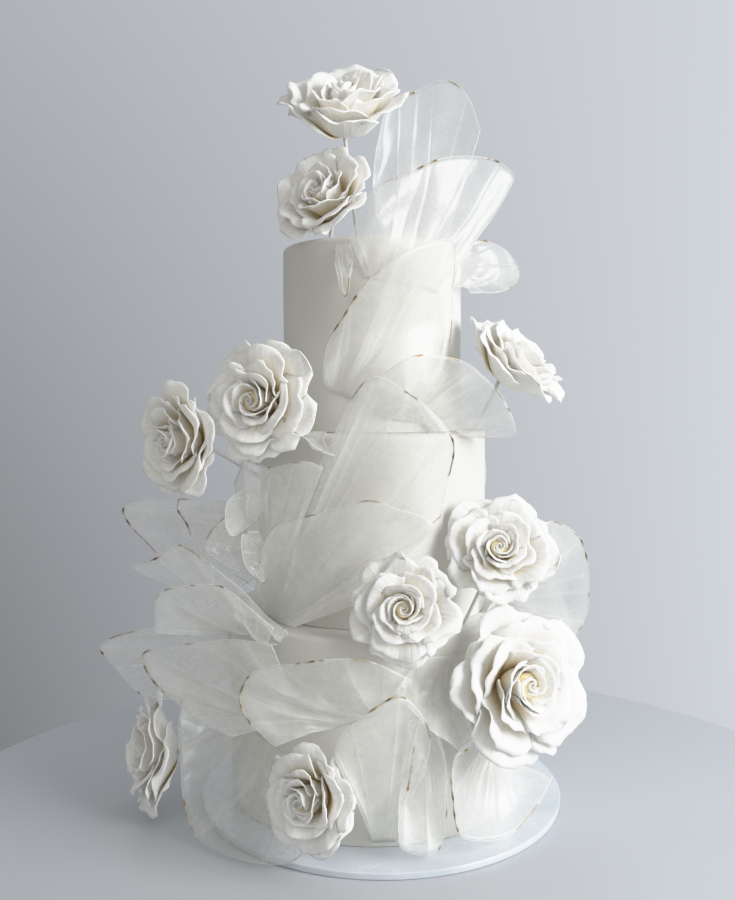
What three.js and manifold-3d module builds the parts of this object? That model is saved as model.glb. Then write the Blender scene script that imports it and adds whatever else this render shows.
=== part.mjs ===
// A three-tier celebration cake on its round board, dressed with wired sails of wafer paper and sugar roses.
// Millimetres, +Z up. The origin is on the underside of the board, below the axis of the tiers.
// Round the cake, 0 degrees is the front (-Y) and 90 degrees is the right-hand side (+X).
import * as THREE from "three";
import Module from "manifold-3d";

const wasm = await Module();
wasm.setup();

// Driving dimensions
const GAP = 0.3;
const BOARD = { radius: 154.7, thickness: 5.4, chamfer: 1, offset: [7.6, -5.5] };
const TIER_RADIUS = { lower: 123.2, middle: 97.1, upper: 76 };
const TIER_HEIGHT = { lower: 158.4, middle: 151.3, upper: 153.2 };
const ICING_EDGE = 4;
const ROUND_SEGMENTS = 44;
const SAIL_THICKNESS = 1;
const PETAL_THICKNESS = 1.5;
const STEM_RADIUS = 1.6;
const ROOM = 0.35;
const SAIL_CLEARANCE = { root: 0.9, spread: 1.6 };

const TIERS = {};
let level = BOARD.thickness;
for (const name of ["lower", "middle", "upper"]) {
  const top = level + TIER_HEIGHT[name];
  TIERS[name] = { radius: TIER_RADIUS[name], bottom: level + GAP, top };
  level = top;
}

// Colours of the real surfaces
const icing = new THREE.MeshStandardMaterial({ color: 0xefeeea, roughness: 0.55, metalness: 0 });
const petalPaste = new THREE.MeshStandardMaterial({ color: 0xf6f3ec, roughness: 0.6, metalness: 0 });
const waferPaper = new THREE.MeshStandardMaterial({ color: 0xe9ecec, roughness: 0.3, metalness: 0 });
const acrylic = new THREE.MeshStandardMaterial({ color: 0xdfe3e8, roughness: 0.15, metalness: 0 });

const radians = THREE.MathUtils.degToRad;

// A point given as degrees round the cake, distance from its axis and height
function around([angle, distance, height]) {
  const turn = radians(angle);
  return new THREE.Vector3(Math.sin(turn) * distance, -Math.cos(turn) * distance, height);
}

// The same uneven number from 0 to 1 each time for a seed and a step
function uneven(seed, step) {
  const value = Math.sin(seed * 12.9898 + step * 78.233) * 43758.5453;
  return value - Math.floor(value);
}

// Solids

function solidFrom(positions, triangles) {
  const vertProperties = new Float32Array(positions);
  const triVerts = new Uint32Array(triangles);
  return new wasm.Manifold(new wasm.Mesh({ numProp: 3, vertProperties, triVerts }));
}

function geometryFrom(solid) {
  const mesh = solid.getMesh();
  const geometry = new THREE.BufferGeometry();
  geometry.setAttribute("position", new THREE.BufferAttribute(mesh.vertProperties, 3));
  geometry.setIndex(new THREE.BufferAttribute(mesh.triVerts, 1));
  geometry.computeVertexNormals();
  return geometry;
}

// A solid of revolution about Z: its profile runs from the axis at the bottom to the axis at the top
function turned(profile, segments, place = new THREE.Matrix4()) {
  const positions = [];
  const triangles = [];
  const rings = profile.slice(1, -1);
  const point = new THREE.Vector3();
  const push = (x, y, z) => positions.push(...point.set(x, y, z).applyMatrix4(place).toArray());
  push(0, 0, profile[0][1]);
  for (const [radius, height] of rings) {
    for (let i = 0; i < segments; i++) {
      const turn = (2 * Math.PI * i) / segments;
      push(radius * Math.cos(turn), radius * Math.sin(turn), height);
    }
  }
  push(0, 0, profile[profile.length - 1][1]);
  const top = 1 + rings.length * segments;
  for (let i = 0; i < segments; i++) {
    const next = (i + 1) % segments;
    triangles.push(0, 1 + next, 1 + i);
    for (let ring = 0; ring < rings.length - 1; ring++) {
      const low = 1 + ring * segments;
      const high = low + segments;
      triangles.push(low + i, low + next, high + next, low + i, high + next, high + i);
    }
    const last = 1 + (rings.length - 1) * segments;
    triangles.push(top, last + i, last + next);
  }
  return solidFrom(positions, triangles);
}

// A thin wavy solid: a grid of points on a curved sheet, with half the thickness laid on each face.
// grow makes it thicker and wider all round.
function sheet(pointAt, across, along, thickness, grow = 0) {
  const middle = [];
  for (let j = 0; j <= along; j++) {
    for (let i = 0; i <= across; i++) middle.push(pointAt(i / across, j / along));
  }
  const row = across + 1;
  const at = (i, j) => middle[THREE.MathUtils.clamp(j, 0, along) * row + THREE.MathUtils.clamp(i, 0, across)];
  const widened = (i, j) => {
    const point = at(i, j).clone();
    const inwards = at(THREE.MathUtils.clamp(i, 1, across - 1), THREE.MathUtils.clamp(j, 1, along - 1));
    const outwards = point.clone().sub(inwards);
    return outwards.lengthSq() > 0 ? point.addScaledVector(outwards.normalize(), grow) : point;
  };
  const positions = [];
  for (const side of [1, -1]) {
    for (let j = 0; j <= along; j++) {
      for (let i = 0; i <= across; i++) {
        const width = at(i + 1, j).clone().sub(at(i - 1, j));
        const length = at(i, j + 1).clone().sub(at(i, j - 1));
        const normal = width.cross(length).normalize();
        positions.push(...widened(i, j).addScaledVector(normal, side * (thickness / 2 + grow)).toArray());
      }
    }
  }
  const back = row * (along + 1);
  const triangles = [];
  for (let j = 0; j < along; j++) {
    for (let i = 0; i < across; i++) {
      const a = j * row + i;
      const [b, c, d] = [a + 1, a + row, a + row + 1];
      triangles.push(a, b, d, a, d, c);
      triangles.push(back + a, back + d, back + b, back + a, back + c, back + d);
    }
  }
  const edge = [];
  for (let i = 0; i < across; i++) edge.push(i);
  for (let j = 0; j < along; j++) edge.push(j * row + across);
  for (let i = across; i > 0; i--) edge.push(along * row + i);
  for (let j = along; j > 0; j--) edge.push(j * row);
  edge.forEach((a, step) => {
    const b = edge[(step + 1) % edge.length];
    triangles.push(a, back + a, back + b, a, back + b, b);
  });
  return solidFrom(positions, triangles);
}

// What stays of a solid when another takes its room: its largest piece, without loose scraps
function giveWay(solid, rooms) {
  let left = solid;
  for (const room of rooms) {
    if (left.intersect(room).volume() > 0) left = left.subtract(room);
  }
  return left.decompose().reduce((largest, piece) => (piece.volume() > largest.volume() ? piece : largest));
}

// The board and the tiers

function tierProfile({ radius, bottom, top }, grow = 0) {
  const wide = radius + grow;
  const high = top + grow;
  const low = bottom - grow;
  return [
    [0, low],
    [wide, low],
    [wide, high - ICING_EDGE],
    [wide - 0.3 * ICING_EDGE, high - 0.3 * ICING_EDGE],
    [wide - ICING_EDGE, high],
    [0, high],
  ];
}

function boardSolid(grow = 0) {
  const { radius, thickness, chamfer, offset } = BOARD;
  const place = new THREE.Matrix4().makeTranslation(offset[0], offset[1], 0);
  const wide = radius + grow;
  const profile = [
    [0, 0],
    [wide - chamfer, 0],
    [wide, chamfer],
    [wide, thickness - chamfer + grow],
    [wide - chamfer, thickness + grow],
    [0, thickness + grow],
  ];
  return turned(profile, ROUND_SEGMENTS, place);
}

// How far a point has to move to stay clear of the stepped side of the cake
function clearOfCake(point, clearance) {
  for (const { radius, top } of Object.values(TIERS)) {
    const distance = Math.hypot(point.x, point.y);
    const short = radius + clearance - distance;
    const low = top + clearance - point.z;
    if (short <= 0 || low <= 0) continue;
    if (low < short) point.z += low;
    else {
      point.x *= (radius + clearance) / distance;
      point.y *= (radius + clearance) / distance;
    }
  }
  return point;
}

// Roses

// Rows of petals from the outside inwards. Sizes are shares of the rose's diameter. The angles, in degrees
// from the rose's axis, are those of a petal's foot, its middle and its lip. half is how far a petal reaches
// round the axis to each side. up and down are the places along the petal where its two faces have points.
const PETAL_ROWS = [
  { length: 0.56, foot: 85, middle: 46, lip: 112, half: 47, up: [0.22, 0.5, 0.8, 1], down: [1, 0.8, 0.5] },
  { length: 0.48, foot: 75, middle: 22, lip: 74, half: 44, up: [0.64, 1], down: [1, 0.64] },
  { length: 0.44, foot: 55, middle: 8, lip: 34, half: 44, up: [0.76, 1], down: [1, 0.76] },
];
const PETALS = 5;
const PETAL_FOOT = 0.03;
const PETAL_COLUMNS = [-34, -12, 12, 34];
const HEART_HEIGHT = 0.36;
const PETAL_SHAPE = { cut: 0.17, shortest: 0.94, longer: 0.12, tuck: 0.034, roll: 0.03, ripple: 0.012 };
const ROSE_ROOM = { wider: 0.06, lower: 0.07, rim: 0.42, top: 0.5 };

// Distance from the axis, height and slope, part of the way along a petal
function petalProfile(row, openness, share) {
  const steps = 12;
  const slope = (t) => {
    const bend = row.middle + (row.foot - row.middle) * (1 - t) ** 3 + (row.lip - row.middle) * t ** 4;
    return radians(bend + openness * t);
  };
  let [out, up] = [PETAL_FOOT, 0];
  for (let i = 0; i < steps; i++) {
    const angle = slope((share * (i + 0.5)) / steps);
    out += (Math.sin(angle) * row.length * share) / steps;
    up += (Math.cos(angle) * row.length * share) / steps;
  }
  return [out, up, slope(share)];
}

// A point on one face of a petal, at an angle from its middle. A petal has a rounded outline and a wavy lip.
// Its left side is tucked inside its neighbour, its right side lies outside, with the corner rolled back.
function petalPoint(rose, rank, petal, angle, along, face) {
  const row = PETAL_ROWS[rank];
  const start = 360 * uneven(rose.seed, 1) + 16 * uneven(rose.seed, 2 + rank);
  const side = angle / row.half;
  const wave = uneven(rose.seed, 20 + 10 * rank + petal);
  const { cut, shortest, longer, tuck } = PETAL_SHAPE;
  const share = along * (1 - cut * Math.abs(side) ** 2.4) * (shortest + longer * wave);
  const [out, up, slope] = petalProfile(row, rose.openness, share);
  const roll = PETAL_SHAPE.roll * Math.max(0, side) ** 3 * along;
  const ripple = PETAL_SHAPE.ripple * along ** 3 * Math.sin(4.1 * side + 6 * wave);
  const stand = tuck * side * along + roll + ripple + (face * PETAL_THICKNESS) / 2 / rose.diameter;
  const distance = out + stand * Math.cos(slope);
  const height = up - stand * Math.sin(slope);
  const turn = start + (360 / PETALS) * (petal - rank / 2) + angle;
  return [distance * Math.cos(radians(turn)), distance * Math.sin(radians(turn)), height];
}

// One closed surface that winds up the outside and down the inside of each row of petals, to the heart.
// Each row is turned by half a petal, so its points start two columns on.
function flowerSolid(rose) {
  const columns = PETAL_COLUMNS.length;
  const rings = [];
  PETAL_ROWS.forEach((row, rank) => {
    const faces = [...row.up.map((along) => [along, 1]), ...row.down.map((along) => [along, -1])];
    for (const [along, face] of faces) {
      const ring = [];
      for (let step = 0; step < PETALS * columns; step++) {
        const place = step + (rank * columns) / 2;
        const angle = PETAL_COLUMNS[place % columns];
        ring.push(petalPoint(rose, rank, Math.floor(place / columns), angle, along, face));
      }
      ring.face = face;
      rings.push(ring);
    }
  });
  return wound(rings, [0, 0, -0.03], [0, 0, HEART_HEIGHT], rose);
}

// Rings of points joined in order, from a first point to a last one
function wound(rings, first, last, rose) {
  const place = rose.place.clone().scale(new THREE.Vector3().setScalar(rose.diameter));
  const points = [first, ...rings.flat(), last].map((point) => new THREE.Vector3(...point).applyMatrix4(place));
  const count = rings[0].length;
  const triangles = [];
  for (let i = 0; i < count; i++) {
    const next = (i + 1) % count;
    triangles.push(0, 1 + next, 1 + i);
    for (let ring = 0; ring < rings.length - 1; ring++) {
      const low = 1 + ring * count;
      const high = low + count;
      if (rings[ring].face > 0) triangles.push(low + i, low + next, high + next, low + i, high + next, high + i);
      else triangles.push(low + i, low + next, high + i, low + next, high + next, high + i);
    }
    const end = 1 + (rings.length - 1) * count;
    triangles.push(points.length - 1, end + i, end + next);
  }
  return solidFrom(points.flatMap((point) => point.toArray()), triangles);
}

function stemSolid(rose, radius) {
  const from = around(rose.base);
  const down = around(rose.stem).sub(from);
  const place = new THREE.Matrix4().compose(
    from,
    new THREE.Quaternion().setFromUnitVectors(new THREE.Vector3(0, 0, 1), down.clone().normalize()),
    new THREE.Vector3(1, 1, 1),
  );
  const length = down.length();
  return turned([[0, -2], [radius, -2], [radius, length], [0, length]], 6, place);
}

function roseSolid(rose) {
  return flowerSolid(rose).add(stemSolid(rose, STEM_RADIUS));
}

// A plain cup round a rose and its stem, which the sails near it stay out of
function roseRoom(rose) {
  const outer = PETAL_ROWS[0];
  const profile = [[0, -0.06]];
  for (const share of [0.25, 0.5, 0.75, 1]) {
    const [out, up] = petalProfile(outer, rose.openness, share);
    profile.push([out + ROSE_ROOM.wider, up - ROSE_ROOM.lower]);
  }
  const widest = profile[profile.length - 1][0];
  profile.push([widest, ROSE_ROOM.rim], [0, ROSE_ROOM.top]);
  const scaled = profile.map(([out, up]) => [out * rose.diameter, up * rose.diameter]);
  return turned(scaled, 12, rose.place).add(stemSolid(rose, STEM_RADIUS + 2 * ROOM));
}

// base is where the petals meet and stem is where the stem enters the cake, both as degrees, distance and
// height. faces is the way the rose looks, as degrees round the cake and degrees above the horizon.
const ROSES = [
  { name: "rose_top", base: [-63, 26, 563], stem: [-120, 12, 462], faces: [-4, 51], diameter: 110, openness: -24, seed: 1 },
  { name: "rose_second", base: [-44, 44, 495], stem: [-46, 50, 462], faces: [-32, 28], diameter: 88, openness: -18, seed: 2 },
  { name: "rose_left_upper", base: [-45, 113, 338], stem: [-48, 84, 308], faces: [-24, 6], diameter: 92, openness: 0, seed: 3 },
  { name: "rose_left", base: [-67, 152, 309], stem: [-63, 90, 270], faces: [-44, -4], diameter: 92, openness: -4, seed: 4 },
  { name: "rose_right_upper", base: [74, 110, 358], stem: [68, 88, 306], faces: [62, 46], diameter: 98, openness: -6, seed: 5 },
  { name: "rose_right_middle", base: [52, 124, 220], stem: [42, 104, 158], faces: [-2, 22], diameter: 84, openness: 0, seed: 6 },
  { name: "rose_centre", base: [12, 119, 186], stem: [16, 110, 158], faces: [-6, 12], diameter: 80, openness: 2, seed: 7 },
  { name: "rose_large", base: [46, 142, 124], stem: [46, 116, 118], faces: [24, 12], diameter: 112, openness: 0, seed: 8 },
  { name: "rose_front", base: [-15, 143, 54], stem: [-15, 116, 60], faces: [-36, 4], diameter: 77, openness: -4, seed: 9 },
  { name: "rose_left_low", base: [-74, 170, 48], stem: [-72, 116, 66], faces: [-68, 6], diameter: 98, openness: -4, seed: 10 },
];

function placeRose(rose) {
  const [turn, rise] = rose.faces;
  const axis = around([turn, Math.cos(radians(rise)), Math.sin(radians(rise))]);
  const spin = new THREE.Quaternion().setFromUnitVectors(new THREE.Vector3(0, 0, 1), axis);
  rose.place = new THREE.Matrix4().compose(around(rose.base), spin, new THREE.Vector3(1, 1, 1));
}

// Sails

// A sail is gathered along its root, a straight line on the cake, and spreads to the wired rim, a smooth
// curve. belly is how far it swells between them, and folds and depth are its broad pleats.
function sailPoint(sail, u, v) {
  const root = sail.rootLine[0].clone().lerp(sail.rootLine[1], u);
  const rim = sail.rimCurve.getPoint(u);
  const across = sail.rimCurve.getPoint(Math.min(1, u + 0.05)).sub(sail.rimCurve.getPoint(Math.max(0, u - 0.05)));
  const normal = across.cross(rim.clone().sub(root)).normalize();
  const pleat = Math.sin(2 * Math.PI * sail.folds * u + 6 * uneven(sail.seed, 1));
  const swell = sail.belly * Math.sin(Math.PI * v) + sail.depth * pleat * Math.sin(Math.PI * (0.12 + 0.8 * v));
  const point = root.lerp(rim, v).addScaledVector(normal, swell * Math.min(1, 6 * v));
  return clearOfCake(point, SAIL_CLEARANCE.root + SAIL_CLEARANCE.spread * Math.min(1, 5 * v));
}

function sailSolid(sail, grow = 0) {
  return sheet((u, v) => sailPoint(sail, u, v), sail.grid[0], sail.grid[1], SAIL_THICKNESS, grow);
}

const SAILS = [
  // Round the top
  {
    name: "sail_crown_tall",
    root: [[20, 36, 469.2], [72, 64, 469.2]],
    rim: [[11, 20, 550], [80, 14, 588], [97, 36, 602], [95, 60, 613], [94, 81, 601], [90, 92, 569]],
    belly: -8, folds: 1.6, depth: 2, grid: [9, 4],
  },
  {
    name: "sail_crown_fan",
    root: [[-4, 77.4, 436], [42, 77.4, 426]],
    rim: [[-12, 83, 466], [0, 83, 500], [20, 82, 515], [38, 88, 528], [57, 96, 534], [74, 110, 534], [80, 120, 523], [77, 100, 500]],
    belly: 3, folds: 2.6, depth: 2, grid: [9, 3],
  },
  {
    name: "sail_crown_right",
    root: [[68, 76.9, 466], [58, 76.9, 432]],
    rim: [[76, 84, 474], [81, 100, 473], [88, 117, 465], [90, 126, 447], [84, 112, 433], [68, 88, 429]],
    belly: 5, folds: 1.2, depth: 1.5, grid: [7, 2],
  },
  {
    name: "sail_upper_drape",
    root: [[-28, 76.9, 350], [-4, 76.9, 338]],
    rim: [[-26, 86, 372], [-21, 92, 388], [-13, 98, 404], [-4, 101, 426], [8, 100, 445], [18, 99, 456], [31, 97, 463], [43, 93, 463], [48, 86, 430], [50, 82, 392], [42, 81, 362], [20, 81, 342]],
    belly: 4, folds: 3.2, depth: 2, grid: [11, 3],
  },
  {
    name: "sail_upper_strip",
    root: [[-21, 76.9, 462], [-13, 76.9, 462]],
    rim: [[-20, 83, 444], [-16, 86, 424], [-13, 86, 422], [-12, 83, 440]],
    belly: 2, folds: 0.8, depth: 0.5, grid: [4, 2],
  },
  // Round the middle tier
  {
    name: "sail_middle_tall",
    root: [[-58, 98, 180], [-42, 98, 168]],
    rim: [[-20, 113, 294], [-7, 124, 343], [1, 130, 358], [10, 132, 348], [19, 135, 332], [26, 135, 309], [28, 118, 275], [29, 107, 252]],
    belly: 5, folds: 2.4, depth: 2.5, grid: [11, 4],
  },
  {
    name: "sail_middle_back",
    root: [[8, 76.9, 326], [34, 76.9, 322]],
    rim: [[3, 100, 357], [11, 108, 370], [20, 108, 375], [38, 110, 371], [44, 120, 361], [49, 134, 340], [57, 134, 315], [60, 112, 312]],
    belly: 5, folds: 3, depth: 2, grid: [9, 3],
  },
  {
    name: "sail_middle_wrap",
    root: [[-62, 104, 165], [-34, 112, 165]],
    rim: [[-56, 112, 198], [-46, 118, 229], [-36, 122, 246], [-18, 126, 258], [-2, 128, 268], [8, 128, 262], [20, 129, 249], [12, 124, 226], [3, 117, 196]],
    belly: 4, folds: 2.2, depth: 2, grid: [9, 3],
  },
  {
    name: "sail_middle_left",
    root: [[-72, 98, 182], [-60, 98, 170]],
    rim: [[-67, 122, 274], [-53, 126, 295], [-38, 128, 290], [-25, 128, 296], [-17, 126, 292]],
    belly: 5, folds: 2.6, depth: 2, grid: [8, 3],
  },
  {
    name: "sail_under_rose",
    root: [[-38, 92, 316], [-24, 90, 316]],
    rim: [[-34, 134, 344], [-29, 130, 324], [-23, 128, 313], [-18, 124, 304], [-13, 116, 300]],
    belly: 5, folds: 1.5, depth: 1.5, grid: [6, 2],
  },
  {
    name: "sail_left_high",
    root: [[-92, 98, 238], [-84, 98, 214]],
    rim: [[-87, 190, 256], [-86, 208, 252], [-85, 213, 247], [-83, 206, 235], [-82, 193, 222], [-79, 181, 211]],
    belly: 6, folds: 1.4, depth: 2, grid: [6, 4],
  },
  {
    name: "sail_left_middle",
    root: [[-77, 98, 252], [-68, 98, 200]],
    rim: [[-80, 165, 258], [-80, 166, 249], [-77, 158, 236], [-73, 153, 221], [-65, 141, 206], [-55, 131, 192]],
    belly: 5, folds: 1.4, depth: 2, grid: [7, 3],
  },
  {
    name: "sail_left_inner",
    root: [[-64, 98, 242], [-60, 98, 212]],
    rim: [[-59, 138, 248], [-62, 147, 235], [-62, 150, 222], [-56, 130, 206]],
    belly: 3, folds: 1, depth: 1, grid: [5, 2],
  },
  {
    name: "sail_leaf_upper",
    root: [[-60, 98, 266], [-60, 98, 258]],
    rim: [[-54, 122, 272], [-50, 144, 264], [-50, 148, 248], [-49, 142, 237], [-53, 118, 246]],
    belly: 3, folds: 0.6, depth: 0.5, grid: [4, 3],
  },
  {
    name: "sail_leaf_lower",
    root: [[-48, 112, 226], [-48, 112, 216]],
    rim: [[-45, 126, 240], [-46, 139, 237], [-46, 136, 215], [-45, 122, 200], [-47, 114, 206]],
    belly: 3, folds: 0.6, depth: 0.5, grid: [4, 3],
  },
  // Skirt of the lower tier, left-hand side
  {
    name: "sail_skirt_top",
    root: [[-78, 118, 165], [-34, 118, 165]],
    rim: [[-73, 205, 206], [-68, 185, 216], [-64, 172, 227], [-57, 157, 217], [-47, 140, 196], [-38, 136, 180], [-27, 139, 170]],
    belly: 8, folds: 2.4, depth: 2, grid: [10, 3],
  },
  {
    name: "sail_skirt_upper",
    root: [[-68, 124.1, 150], [-36, 124.1, 154]],
    rim: [[-63, 191, 160], [-62, 190, 188], [-57, 177, 198], [-49, 161, 201], [-41, 150, 192], [-32, 140, 172]],
    belly: 8, folds: 2.2, depth: 2, grid: [9, 3],
  },
  {
    name: "sail_skirt_far",
    root: [[-90, 124.1, 142], [-82, 124.1, 104]],
    rim: [[-75, 186, 153], [-79, 210, 147], [-82, 225, 139], [-84, 234, 130], [-83, 224, 118], [-80, 204, 98], [-76, 190, 93]],
    belly: 6, folds: 2, depth: 2, grid: [8, 3],
  },
  {
    name: "sail_skirt_band",
    root: [[-32, 124.1, 84], [-18, 124.1, 104]],
    rim: [[-40, 164, 92], [-50, 172, 99], [-59, 178, 105], [-65, 192, 120], [-68, 198, 138], [-62, 184, 149], [-51, 168, 157], [-41, 158, 163], [-29, 153, 164]],
    belly: 5, folds: 2.6, depth: 2, grid: [11, 3],
  },
  {
    name: "sail_skirt_hanging",
    root: [[-70, 124.1, 92], [-24, 124.1, 64]],
    rim: [[-69, 166, 100], [-65, 172, 80], [-61, 174, 54], [-58, 175, 27], [-50, 175, 8], [-36, 169, 4], [-22, 166, 10], [-14, 160, 30]],
    belly: 8, folds: 2, depth: 2, grid: [9, 3],
  },
  // Skirt of the lower tier, front
  {
    name: "sail_front_band",
    root: [[-14, 124.1, 96], [8, 124.1, 112]],
    rim: [[-27, 158, 90], [-34, 162, 106], [-37, 163, 121], [-35, 162, 137], [-31, 160, 147], [-21, 157, 153], [-10, 153, 158], [0, 150, 154], [10, 146, 142]],
    belly: 6, folds: 3.8, depth: 2, grid: [11, 3],
  },
  {
    name: "sail_front_leaf",
    root: [[0, 124.1, 10], [8, 124.1, 10]],
    rim: [[-10, 161, 90], [-8, 162, 106], [0, 161, 124], [8, 157, 131], [15, 155, 104], [14, 152, 72]],
    belly: 4, folds: 1.2, depth: 1.5, grid: [8, 3],
  },
  {
    name: "sail_front_tongue",
    root: [[16, 124.1, 150], [34, 124.1, 148]],
    rim: [[6, 141, 129], [12, 150, 116], [17, 150, 101], [22, 148, 92], [28, 146, 80], [33, 142, 88]],
    belly: 7, folds: 1.8, depth: 1.5, grid: [7, 3],
  },
  {
    name: "sail_front_pocket",
    root: [[44, 124.1, 84], [56, 124.1, 60]],
    rim: [[28, 154, 88], [22, 156, 80], [22, 155, 50], [24, 156, 25], [31, 159, 17], [40, 161, 16], [50, 164, 28], [60, 165, 42]],
    belly: 4, folds: 2.6, depth: 1.5, grid: [9, 3],
  },
  {
    name: "sail_front_foot",
    root: [[13, 124.1, 104], [19, 124.1, 104]],
    rim: [[13, 138, 92], [10, 148, 60], [7, 151, 34], [8, 150, 17], [16, 150, 11], [20, 148, 18], [22, 146, 46], [22, 143, 70], [20, 136, 94]],
    belly: 4, folds: 1.4, depth: 1, grid: [5, 3],
  },
  {
    name: "sail_right",
    root: [[66, 104, 165], [88, 112, 165]],
    rim: [[66, 122, 214], [72, 148, 239], [79, 163, 236], [83, 179, 221], [84, 186, 192], [84, 185, 160], [82, 175, 138]],
    belly: 6, folds: 1.6, depth: 2, grid: [8, 4],
  },
  // Round the back
  {
    name: "sail_back_upper",
    root: [[172, 76.9, 352], [190, 76.9, 364]],
    rim: [[152, 88, 392], [142, 96, 430], [148, 100, 462], [166, 101, 470], [184, 100, 456], [200, 98, 426], [206, 92, 392]],
    belly: -4, folds: 2.6, depth: 2, grid: [9, 3],
  },
  {
    name: "sail_back_middle",
    root: [[150, 98, 176], [164, 98, 172]],
    rim: [[130, 108, 214], [122, 126, 262], [132, 134, 310], [150, 132, 338], [170, 128, 330], [186, 122, 290], [190, 110, 240]],
    belly: -5, folds: 2.6, depth: 2, grid: [9, 3],
  },
  {
    name: "sail_back_right",
    root: [[100, 124.1, 92], [128, 124.1, 96]],
    rim: [[92, 162, 60], [90, 172, 98], [96, 178, 140], [108, 172, 176], [122, 158, 182], [136, 148, 150]],
    belly: -6, folds: 2.2, depth: 2, grid: [8, 3],
  },
  {
    name: "sail_back_skirt",
    root: [[160, 124.1, 112], [192, 124.1, 112]],
    rim: [[146, 160, 112], [148, 168, 142], [156, 172, 170], [174, 164, 186], [192, 168, 172], [204, 164, 132]],
    belly: -6, folds: 2.6, depth: 2, grid: [9, 3],
  },
  {
    name: "sail_back_left",
    root: [[222, 124.1, 106], [246, 124.1, 96]],
    rim: [[214, 166, 96], [216, 174, 122], [223, 178, 150], [236, 180, 168], [250, 184, 150], [256, 176, 110]],
    belly: -6, folds: 2.2, depth: 2, grid: [8, 3],
  },
];

// The cake

const cake = new THREE.Group();

function addPiece(name, solid, material) {
  const piece = new THREE.Mesh(geometryFrom(solid), material);
  piece.name = name;
  cake.add(piece);
}

addPiece("cake_board", boardSolid(), acrylic);
const rooms = [boardSolid(ROOM)];
for (const [name, tier] of Object.entries(TIERS)) {
  addPiece("tier_" + name, turned(tierProfile(tier), ROUND_SEGMENTS), icing);
  rooms.push(turned(tierProfile(tier, ROOM), ROUND_SEGMENTS));
}

const cakeRooms = [...rooms];
for (const rose of ROSES) {
  placeRose(rose);
  addPiece(rose.name, giveWay(roseSolid(rose), cakeRooms), petalPaste);
  rooms.push(roseRoom(rose));
}

SAILS.forEach((sail, order) => {
  sail.seed = 40 + order;
  sail.rootLine = sail.root.map(around);
  sail.rimCurve = new THREE.CatmullRomCurve3(sail.rim.map(around), false, "catmullrom", 0.5);
  addPiece(sail.name, giveWay(sailSolid(sail), rooms), waferPaper);
  rooms.push(sailSolid(sail, ROOM));
});

export default cake;
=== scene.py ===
# %% [markdown]
# # A three-tier cake with sugar roses and wired sails
#
# The cake is three plain drums of satin icing on a round board. What makes it special is thin: sails of
# translucent wafer film gathered on the cake and spread to a bent wire, and roses of white sugar paste.
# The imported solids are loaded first, because every piece here stands in for one of them, in the same place.

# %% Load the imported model
import math

import bpy
import numpy as np
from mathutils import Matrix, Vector


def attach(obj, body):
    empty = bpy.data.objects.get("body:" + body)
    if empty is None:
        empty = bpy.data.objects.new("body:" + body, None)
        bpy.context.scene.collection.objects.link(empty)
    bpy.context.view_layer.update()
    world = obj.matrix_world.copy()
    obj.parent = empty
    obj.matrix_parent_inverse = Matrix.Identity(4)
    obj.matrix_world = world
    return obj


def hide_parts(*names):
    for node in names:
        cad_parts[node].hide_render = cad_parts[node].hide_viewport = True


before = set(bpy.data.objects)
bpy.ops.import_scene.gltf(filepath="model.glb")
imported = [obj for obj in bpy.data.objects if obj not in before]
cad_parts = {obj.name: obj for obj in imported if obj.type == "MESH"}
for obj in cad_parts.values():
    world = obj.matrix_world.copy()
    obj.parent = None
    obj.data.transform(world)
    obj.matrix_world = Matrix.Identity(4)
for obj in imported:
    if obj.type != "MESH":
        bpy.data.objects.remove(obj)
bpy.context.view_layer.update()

# %% [markdown]
# ## Camera
#
# The photograph was taken from just below the middle of the cake, nearly level, from about three quarters
# of a metre. A camera with the same place, tilt and lens makes every later comparison a fair one, so it
# comes first. The lens is given on a 36 mm sensor that spans the picture's long side.

# %% Stand the camera where the photographer stood
CAMERA_PLACE = (-0.004, -0.7834, 0.346)
CAMERA_TILT = 3.56
CAMERA_ROLL = 0.05
camera_data = bpy.data.cameras.new("photographer")
camera_data.sensor_width = 36
camera_data.lens = 36.17
camera_data.clip_start = 0.05
camera_data.clip_end = 30
camera = bpy.data.objects.new("photographer", camera_data)
camera.location = CAMERA_PLACE
camera.rotation_euler = (math.radians(90 - CAMERA_TILT), math.radians(CAMERA_ROLL), 0)
scene = bpy.context.scene
scene.collection.objects.link(camera)
scene.camera = camera
print("Lens", camera_data.lens, "mm at", CAMERA_PLACE)

# %% [markdown]
# ## Helpers for places and waves
#
# Everything is dressed round one upright axis, so a place is easiest to read as an angle round the cake, a
# distance from the axis and a height. Sugar work is never quite regular. The unevenness comes from a sine
# of a seed, which gives the same number in every run.

# %% Places round the cake and repeatable unevenness
MM = 0.001


def around(place):
    """A point in millimetres from degrees round the cake (0 is the front), distance and height."""
    turn, distance, height = place
    angle = math.radians(turn)
    return np.array([math.sin(angle) * distance, -math.cos(angle) * distance, height])


def uneven(seed, step):
    """The same uneven number from 0 to 1 each time for a seed and a step."""
    value = np.sin(seed * 12.9898 + step * 78.233) * 43758.5453
    return value - np.floor(value)


def unit(vectors):
    """The vectors at length one."""
    return vectors / np.maximum(np.linalg.norm(vectors, axis=-1, keepdims=True), 1e-9)


print("Front of the lower tier:", around((0, 123.2, 60)))

# %% [markdown]
# ## Helpers for meshes
#
# Petals and sails are both thin sheets with a real thickness. One helper turns a grid of points into a
# closed sheet: a front face, a back face and a band round the edge. Another turns a profile into a lathe
# shape, and a third draws a tube along a path, for wires and stems.

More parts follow.
